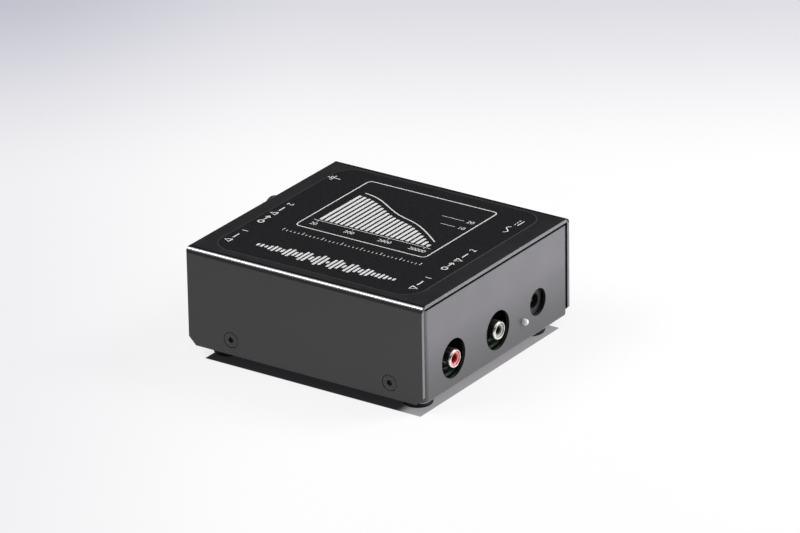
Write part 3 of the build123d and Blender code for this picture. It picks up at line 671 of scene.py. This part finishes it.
# Radii of a sleeve and its insert in mm, then the flange and tab behind them.
tube_bore, tube_out, insert_bore, insert_out = 3.60, 4.15, 2.08, 3.57
plate_gap, plate_thick, plate_half, plate_corner = 9.8 * mm, 0.5 * mm, 4.7 * mm, 0.8 * mm
tab_half, tab_top, tail_hole = 0.65 * mm, jack_z - 4.4 * mm, 0.53 * mm
for panel, way in (("output", 1), ("input", -1)):
    for channel in ("right", "left"):
        names = {part: f"{panel}_{channel}_{part}" for part in ("sleeve", "insert", "contact", "housing")}
        low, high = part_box(names["insert"])
        y = (low.y + high.y) / 2
        low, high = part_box(names["sleeve"])
        front = (high.x if way > 0 else low.x, y, jack_z)

        wall = [(-9.6, tube_bore), (-0.5, tube_bore), (-0.4, 3.40), (-0.15, 3.40), (-0.04, 3.44),
                (0.0, 3.52), (0.0, 3.66), (-0.1, 3.8), (-0.3, 3.94), (-0.55, 4.05), (-0.85, 4.12),
                (-1.15, tube_out), (-9.6, tube_out), (-9.6, tube_bore)]
        tube = turned(names["sleeve"] + "_turned", wall, front, (way, 0, 0), 96)
        back = front[0] - way * plate_gap
        flange_x = sorted((back, back + way * plate_thick))
        plate = new_block("flange", (flange_x[0], y - plate_half, jack_z - plate_half),
                          (flange_x[1], y + plate_half, jack_z + plate_half))
        choose(plate, "EDGE", lambda e: run(e).x > 0.4 * mm)
        bpy.ops.mesh.bevel(offset=plate_corner, segments=4, affect="EDGES")
        start, end = (back - mm, y, jack_z), (back + mm, y, jack_z)
        cut_out(plate, new_rod("bore", tube_bore * mm, start, end, 96))
        tab = new_block("tab", (back, y - tab_half, low.z),
                        (back + way * plate_thick, y + tab_half, tab_top))
        sleeve = join(tube, plate, tab)
        soften(sleeve, 0.06 * mm, 50)
        finished(sleeve, plated, "case", names["sleeve"], slot="gold_plate")

        ring = [(-9.77, insert_bore), (-1.33, insert_bore), (-1.3, 1.90), (-0.95, 1.90), (-0.62, 2.14),
                (-0.5, 2.36), (-0.5, 3.30), (-0.62, 3.50), (-0.75, insert_out), (-9.77, insert_out),
                (-9.77, insert_bore)]
        insert = turned(names["insert"] + "_moulded", ring, front, (way, 0, 0), 96)
        finished(insert, insert_finish[channel], "case", names["insert"],
                 slot="red_insert" if channel == "right" else "white_insert", smooth=50)
        dress(contact_finish[channel], names["contact"])

        low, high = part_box(names["housing"])
        block = moulded_block(names["housing"] + "_moulded", low, high)
        start, end = (low.x - mm, y, jack_z), (high.x + mm, y, jack_z)
        cut_out(block, new_rod("tail_hole", tail_hole, start, end, 32))
        soften(block, 0.15 * mm)
        finished(block, moulded, "case", names["housing"], slot="black_plastic")


# ---- power lamp --------------------------------------------------------------
# A 3 mm lamp of milky resin, pushed through the panel from inside up to its
# rim, with two tinned leads bent down into the board.
low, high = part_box("power_lamp")
milky, surface, at = new_finish("milky_resin", Coat_Weight=0.4, Coat_Roughness=0.1, Subsurface_Weight=0.35,
                                Subsurface_Scale=mm, Subsurface_Radius=(1.0, 1.0, 1.0))
cloud = at.noise(1500.0, 3.0)
cloud.ramp(0.3, 0.7).colour((0.86, 0.86, 0.88), (0.94, 0.94, 0.96)).to(surface, "Base Color")
cloud.ramp(0.2, 0.8, 0.20, 0.34).to(surface, "Roughness")
dome = [(0, 0), (0, 1.75), (0.15, 1.9), (0.85, 1.9), (1.0, 1.75), (1.0, 1.5), *arc(3.8, 0, 1.5, 90, 0, 12)]
lens_piece = turned("lamp_lens", dome, (low.x, lamp_y, lamp_z), (1, 0, 0), 64)
finished(lens_piece, milky, "case", "power_lamp", slot="lamp_plastic", smooth=40)
dress(tinned, "power_lamp_leads")


# ---- power inlet ---------------------------------------------------------------
# A moulded block behind the panel with a round bore and a plated centre pin,
# painted dark as the shade in the bore.
low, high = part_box("power_inlet_housing")
inlet_bore, inlet_depth, inlet_tail = 3.25 * mm, 9.5 * mm, 0.83 * mm
inlet = moulded_block("inlet_moulded", low, high)
bore_start, bore_end = (high.x - inlet_depth, inlet_y, inlet_z), (high.x + mm, inlet_y, inlet_z)
tail_start, tail_end = (low.x - mm, inlet_y, inlet_z), (high.x - inlet_depth + mm / 2, inlet_y, inlet_z)
cut_out(inlet, new_rod("inlet_bore", inlet_bore, bore_start, bore_end, 96),
        new_rod("tail_hole", inlet_tail, tail_start, tail_end, 32))
soften(inlet, 0.2 * mm, segments=3)
finished(inlet, moulded, "case", "power_inlet_housing", slot="black_plastic")
# The pin takes the contacts' painted shade.
dress(contact_finish["left"], "power_inlet_contact")


# ---- ground terminal -------------------------------------------------------------
# A threaded stud insulated from the input panel, with a clamp washer and a
# knurled thumb nut under a fluted black cap; tag, nut and wire are inside.
panel_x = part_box("chassis")[0].x
face, outwards = (panel_x, post_y, post_z), (-1, 0, 0)
ring = [(-1.5, 2.03), (3.0, 2.03), (3.0, 5.4), (2.4, 6.0), (0, 6.0), (0, 3.8), (-1.5, 3.8), (-1.5, 2.03)]
collar = turned("collar_moulded", ring, face, outwards, 96)
soften(collar, 0.12 * mm)
finished(collar, moulded, "case", "ground_collar", slot="black_plastic")

# Along the stud in mm from the panel: a flange, then the thread to its tip.
low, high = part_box("ground_stud")
outer, inner = (panel_x - low.x) / mm, (high.x - panel_x) / mm
pitch, root, crest, thread_start = 0.7, 1.72, 2.0, 4.9
thread = []
for step in range(int((outer - 1.0 - thread_start) / pitch)):
    at_step = thread_start + pitch * step
    thread += [(at_step, root), (at_step + 0.30, crest), (at_step + 0.40, crest)]
stud_line = [(-inner, 0), (-inner, 1.8), (-inner + 0.2, 2.0), (3.0, 2.0), (3.0, 4.45), (3.15, 4.6),
             (4.35, 4.6), (4.5, 4.45), (4.5, 2.0), (4.6, root), *thread, (outer - 0.5, root),
             (outer, 1.3), (outer, 0)]
stud = turned("stud_turned", stud_line, face, outwards, 48)
finished(stud, nickel, "case", "ground_stud", slot="nickel_plate")

ring = [(4.55, 2.05), (4.55, 5.2), (4.75, 5.4), (5.55, 5.4), (5.75, 5.2), (5.75, 2.05), (4.55, 2.05)]
washer = turned("washer_turned", ring, face, outwards, 72)
finished(washer, nickel, "clamp_washer", "ground_washer", slot="nickel_plate")


def grooves(name, count, groove, out, start, end, steps):
    """Rods in a ring round the post, to cut grips from start to end in mm."""
    rods = []
    for turn in (math.tau * step / count for step in range(count)):
        y, z = post_y + out * math.cos(turn), post_z + out * math.sin(turn)
        rods.append(new_rod(name, groove, (panel_x - start * mm, y, z), (panel_x - end * mm, y, z), steps))
    return join(*rods)


# The thumb nut's plated neck and knurled ring.
ring_end, knob_end = 12.6, 25.3
ring = [(5.8, 2.05), (5.8, 4.8), (6.0, 5.0), (ring_end - 4.6, 5.0), (ring_end - 4.6, 6.15),
        (ring_end - 4.2, 6.45), (ring_end, 6.45), (ring_end, 2.05), (5.8, 2.05)]
knurl = turned("knob_ring", ring, face, outwards, 96)
cut_out(knurl, grooves("notch", 36, 0.34 * mm, 6.62 * mm, 7.5, ring_end + 1, 8))
soften(knurl, 0.05 * mm, 50, segments=1)
finished(knurl, nickel, "clamp_knob", "ground_knob", slot="nickel_plate")

# The moulded cap over it, with a flute for each of 24 grips and a sunk end.
cap_line = [(ring_end, 2.05), (ring_end, 6.1), (ring_end + 0.4, 6.5), (knob_end - 1.2, 6.5),
            (knob_end - 0.5, 6.2), (knob_end - 0.1, 5.6), (knob_end, 5.2), (knob_end, 4.2),
            (knob_end - 0.3, 3.9), (knob_end - 0.5, 0.0)]
cap = turned("knob_cap", cap_line, face, outwards, 96)
choose(cap, "EDGE", lambda e: e.is_boundary)
bpy.ops.mesh.edge_face_add()
cut_out(cap, grooves("flute", 24, 0.45 * mm, 6.5 * mm, ring_end - 1, knob_end + 1, 12))
soften(cap, 0.08 * mm, 40)
finished(cap, moulded, "clamp_knob", "ground_knob", slot="black_plastic")

dress(moulded, "ground_inner_washer")
dress(tinned, "ground_tag")
dress(zinc, "ground_nut")
wire_sheath, surface, at = new_finish("wire_sheath")
soft = at.noise(800.0, 3.0)
soft.ramp(0.3, 0.7).colour((0.025, 0.19, 0.040), (0.035, 0.26, 0.055)).to(surface, "Base Color")
soft.ramp(0.2, 0.8, 0.38, 0.55).to(surface, "Roughness")
dress(wire_sheath, "ground_wire")


# ---- cover ---------------------------------------------------------------------
# One sheet of 1.5 mm steel folded to a U, its lower corners cut off, with four
# countersunk holes.  It is coated black and reaches past both panels.
low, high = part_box("cover")
fold, corner_cut, lip_skin = 1.8 * mm, 3.6 * mm, 0.2 * mm
powder_black, surface, at, mottle, peel = powder("black_powder_coat", Coat_Weight=0.3, Coat_Roughness=0.14)
# Painted sheen on the cut edges at both ends, as on the panels.
edge = near_ends(at, low, high, lip_skin)
sheen_grey = mottle.colour((0.19, 0.185, 0.195), (0.23, 0.225, 0.235))
coat = dusty(at, edge.colour(mottle.colour(*black_tones), sheen_grey))

# Across each fold, a painted highlight on its crest and painted shade beside it.
round_fold = (abs(at.axis("Y")) + at.axis("Z") - (high.y + high.z - 2 * fold)) * math.sqrt(0.5)
painted_fold_highlight, painted_fold_shade = round_fold.ramp(1.59 * mm, 1.65 * mm), round_fold.ramp(0.45 * mm, 0.95 * mm)
painted_fold_highlight.colour(painted_fold_shade.colour(coat, (0.002, 0.002, 0.002)), (0.42, 0.42, 0.43)).to(surface, "Base Color")
(painted_fold_shade * 0.7 + painted_fold_highlight * 0.15).to(surface, "Metallic")
(mottle * 0.06 + peel * 0.10 + 0.34 - painted_fold_highlight * 0.12).to(surface, "Roughness")

cover = new_block("folded_cover", low, high)
choose(cover, "EDGE", lambda e: lowest(e) > high.z - 0.1 * mm and run(e).x > mm)
bpy.ops.mesh.bevel(offset=fold, segments=10, affect="EDGES")
choose(cover, "FACE", lambda f: f.normal.z < -0.9 or abs(f.normal.x) > 0.9)
bpy.ops.mesh.delete(type="FACE")
choose(cover, "VERT", lambda v: v.co.z < low.z + 0.1 * mm)
bpy.ops.mesh.bevel(offset=corner_cut, segments=1, affect="VERTICES")
apply_modifier(cover, "SOLIDIFY", thickness=sheet, offset=-1, use_even_offset=True)
sink = [(-0.5, 0), (-0.5, 3.65), (0.2, 3.65), (1.9, 1.95), (2.6, 1.95), (2.6, 0)]
for x in screw_x:
    for y, way in ((low.y, 1), (high.y, -1)):
        cut_out(cover, turned("countersink", sink, (x, y, screw_z), (0, way, 0), 72))
soften(cover, 0.14 * mm, 40)
finished(cover, powder_black, "case", "cover", slot="black_coat", smooth=40)


# ---- cover screws ----------------------------------------------------------------
# Four countersunk M4 screws, blackened, flush with the cover, with sockets for
# a 2.5 mm hexagon key.  One is made and copied to its four places.
blacked, surface, at = new_finish("blackened_steel", Metallic=0.6)
worn = at.noise(900.0, 4.0, 0.65)
worn.ramp(0.4, 0.8).colour((0.050, 0.050, 0.052), (0.085, 0.084, 0.086)).to(surface, "Base Color")
worn.ramp(0.2, 0.8, 0.34, 0.52).to(surface, "Roughness")
bump(surface, at.noise(2500.0, 2.0), 0.00001, 0.5)
low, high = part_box("cover_screws")
line = [(0.04, 0), (0.04, 3.35), (0.10, 3.46), (0.2, 3.5), (1.75, 1.95), (7.7, 1.95), (8.0, 1.65), (8.0, 0)]
first_screw = turned("cover_screw_1", line, (0, 0, screw_z), (0, 1, 0), 72)
hex_corner, hex_depth = 1.4434, 1.3
socket = [(-1, 0), (-1, hex_corner), (hex_depth, hex_corner), (hex_depth, 0)]
cut_out(first_screw, turned("socket", socket, (0, 0, screw_z), (0, 1, 0), 6))
soften(first_screw, 0.06 * mm, 35)
places = [(x, low.y, 0) for x in screw_x] + [(x, high.y, 180) for x in screw_x]
for number, (x, y, turn) in enumerate(places, start=1):
    pick(first_screw)
    bpy.ops.object.duplicate()
    screw = pick(bpy.context.object)
    screw.name = f"countersunk_screw_{number}"
    screw.rotation_euler = (0, 0, math.radians(turn))
    screw.location = (x, y, 0)
    finished(screw, blacked, "case", "cover_screws", slot="black_steel")
bpy.data.objects.remove(first_screw)


# ---- label -----------------------------------------------------------------------
# A thin satin black film on the cover's top, printed in white: a frame with the
# standard record equalisation drawn as bars, a rule, a wave and plain marks.
film, surface, at = new_finish("label_film", Specular_IOR_Level=0.35)
fine = at.noise(900.0, 3.0, 0.6)
low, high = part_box("label")
corner = 10.0 * mm
middle, half = (low + high) / 2, (high - low) / 2
past_x = (abs(at.axis("X") - middle.x) - (half.x - corner)).math("MAXIMUM", 0.0)
past_y = (abs(at.axis("Y") - middle.y) - (half.y - corner)).math("MAXIMUM", 0.0)
# A painted highlight along the film's rounded edge.
rim = (past_x * past_x + past_y * past_y).math("SQRT").ramp(corner - 0.32 * mm, corner - 0.22 * mm)
sheet_black = fine.ramp(0.3, 0.7).colour((0.0070, 0.0070, 0.0078), (0.0110, 0.0110, 0.0120))
rim.colour(sheet_black, (0.075, 0.074, 0.076)).to(surface, "Base Color")
fine.ramp(0.2, 0.8, 0.34, 0.44).to(surface, "Roughness")
ink_top, film_top = high.z - 0.005 * mm, high.z - 0.03 * mm
label = new_block("label_sheet", low, (high.x, high.y, film_top))
choose(label, "EDGE", lambda e: run(e).z > 0.05 * mm)
bpy.ops.mesh.bevel(offset=corner, segments=16, affect="EDGES")
soften(label, 0.04 * mm, 60)
finished(label, film, "case", "label", slot="label_film")

ink, surface, at = new_finish("white_ink", Specular_IOR_Level=0.3)
wear = at.noise(1500.0, 4.0, 0.7)
wear.ramp(0.25, 0.60).colour((0.66, 0.66, 0.66), (0.84, 0.84, 0.84)).to(surface, "Base Color")
wear.ramp(0.2, 0.8, 0.45, 0.60).to(surface, "Roughness")
printed = []


def bar(x, y, width, height, round_off):
    """A printed rectangle with rounded corners, from its centre and size in mm."""
    made = new_block("bar", ((x - width / 2) * mm, (y - height / 2) * mm, film_top - 0.02 * mm),
                     ((x + width / 2) * mm, (y + height / 2) * mm, ink_top))
    choose(made, "EDGE", lambda e: run(e).z > 0.01 * mm)
    bpy.ops.mesh.bevel(offset=round_off * mm, segments=4, affect="EDGES")
    bpy.ops.object.mode_set(mode="OBJECT")
    printed.append(made)
    return made


def outline(x, y, width, height, corner, line):
    """A printed rounded frame of this line width, made by cutting out its middle."""
    made = bar(x, y, width, height, corner)
    cutter = bar(x, y, width - 2 * line, height - 2 * line, corner - line)
    printed.remove(cutter)
    for vertex in cutter.data.vertices:
        vertex.co.z += 0.5 * mm if vertex.co.z > film_top else -0.5 * mm
    cut_out(made, cutter)


def stroke(points, line):
    """A printed line through these points in mm, made as a flattened round wire."""
    drawn = bpy.data.curves.new("stroke", "CURVE")
    drawn.dimensions = "3D"
    drawn.bevel_depth, drawn.bevel_resolution, drawn.use_fill_caps = line / 2 * mm, 2, True
    path = drawn.splines.new("POLY")
    path.points.add(len(points) - 1)
    for point, (x, y) in zip(path.points, points):
        point.co = (x * mm, y * mm, 0, 1)
    made = bpy.data.objects.new("stroke", drawn)
    bpy.context.scene.collection.objects.link(made)
    pick(made)
    bpy.ops.object.convert(target="MESH")
    made = pick(bpy.context.object)
    made.scale = (1, 1, (ink_top - film_top + 0.01 * mm) / (line * mm))
    made.location = (0, 0, (ink_top + film_top) / 2 - 0.005 * mm)
    bpy.ops.object.transform_apply(location=True, rotation=True, scale=True)
    printed.append(made)


def number(text, x, y, size, turn=0):
    """A printed number, centred on this place in mm."""
    leave_edit_mode()
    bpy.ops.object.text_add()
    made = pick(bpy.context.object)
    made.data.body, made.data.size = text, size * mm
    made.data.align_x, made.data.align_y = "CENTER", "CENTER"
    made.data.extrude = (ink_top - film_top) / 2
    bpy.ops.object.convert(target="MESH")
    made = pick(bpy.context.object)
    made.rotation_euler = (0, 0, math.radians(turn))
    made.location = (x * mm, y * mm, (ink_top + film_top) / 2)
    bpy.ops.object.transform_apply(location=True, rotation=True, scale=True)
    printed.append(made)


def gain(frequency):
    """The standard record playback equalisation, in decibels at this frequency."""
    turn = math.tau * frequency
    rise = 1 + (turn * 318e-6) ** 2
    fall_low, fall_high = 1 + (turn * 3180e-6) ** 2, 1 + (turn * 75e-6) ** 2
    return 10 * math.log10(rise / (fall_low * fall_high)) + 19.9


def bar_height(level):
    """Height in mm of the bar for this level in decibels."""
    return (level + 23) * 0.72


# The frame, its bars from 20 to 20000 cycles, the curve over them, and numbers.
# Places and line widths are in mm here and below.
hair, thin, medium, bold = 0.3, 0.35, 0.6, 0.7
foot_y, first_x, bar_pitch, bars = -2.0, -19.6, 2.6, 22
axis_y, numbers_y, axis_start, axis_end = foot_y - 1.2, foot_y - 5.2, -22.2, 37.6
outline(7.6, 15.8, 67.0, 57.0, 2.5, 0.55)
curve = []
for step in range(bars):
    x, tall = first_x + step * bar_pitch, bar_height(gain(20 * 1000 ** (step / (bars - 1))))
    bar(x, foot_y + tall / 2, 1.5, tall, 0.3)
    curve.append((x, foot_y + tall + 3.4))
stroke(curve, medium)
stroke([(axis_start, axis_y), (axis_end, axis_y)], thin)
for decade, (text, shift) in enumerate((("20", 0.0), ("200", 0.0), ("2000", 0.0), ("20000", -1.6))):
    x = first_x + decade * bar_pitch * (bars - 1) / 3
    stroke([(x, axis_y), (x, foot_y - 2.6)], thin)
    number(text, x + shift, numbers_y, 3.4)
for level, start in ((20, 22.0), (10, 26.0)):
    y = foot_y + bar_height(level)
    number(str(level), 36.6, y, 3.6)
    stroke([(start, y), (33.2, y)], hair)

# A rule of fine ticks, every fifth one longer, and the wave under it.
rule_x, rule_y, tick_pitch = -26.9, -20.0, 2.0
for step in range(36):
    x, tall = rule_x + step * tick_pitch, 2.4 if step % 5 == 0 else 1.3
    stroke([(x, rule_y), (x, rule_y + tall)], thin)
wave_x, wave_y, wave_pitch, beats = -26.6, -38.0, 2.1, 34
for step in range(beats):
    swell = math.sin(math.pi * (step + 0.5) / beats) * abs(math.cos(step * 0.83)) + 0.12
    bar(wave_x + step * wave_pitch, wave_y, 1.2, 1.0 + 8.6 * swell, 0.5)

# A number, a dash and a triangle beside each jack, and a ring and an arrow
# between the two of each panel.
for x, away in ((-40.1, -1), (54.0, 1)):
    back, tip = x - away * 1.0, x + away * 2.1
    for y, text in ((jack_y[0] / mm, "1"), (jack_y[1] / mm, "2")):
        number(text, x, y + 3.8, 4.4, 90 * away)
        stroke([(x, y - 0.2), (x, y - 4.8)], bold)
        stroke([(back, y - 6.4), (tip, y - 7.9), (back, y - 9.4), (back, y - 6.4)], bold)
    outline(x, -17.0, 3.2, 3.2, 1.59, 0.6)
    stroke([(x, -14.6), (x, -10.4)], medium)
    stroke([(x - 1.2, -12.0), (x, -10.4), (x + 1.2, -12.0)], medium)

# The earth sign by its terminal, and the signs of both currents by the inlet.
sign, earth_x, earth_y, current_x = 0.5, -41.0, 38.6, 53.6
for step, half in ((0.0, 2.4), (1.2, 1.5), (2.4, 0.6)):
    stroke([(earth_x - step, earth_y - half), (earth_x - step, earth_y + half)], sign)
stroke([(earth_x, earth_y), (earth_x + 3.6, earth_y)], sign)
stroke([(current_x + 1.3 * math.sin(math.tau * step / 16), 28.0 + step * 0.42) for step in range(17)], sign)
for y in (37.0, 39.0, 41.0):
    stroke([(current_x, y), (current_x, y + 1.2)], sign)
stroke([(current_x + 1.6, 37.0), (current_x + 1.6, 42.2)], sign)
ink_print = join(*printed)
ink_print.name = "label_print"
finished(ink_print, ink, "case", slot="label_film")
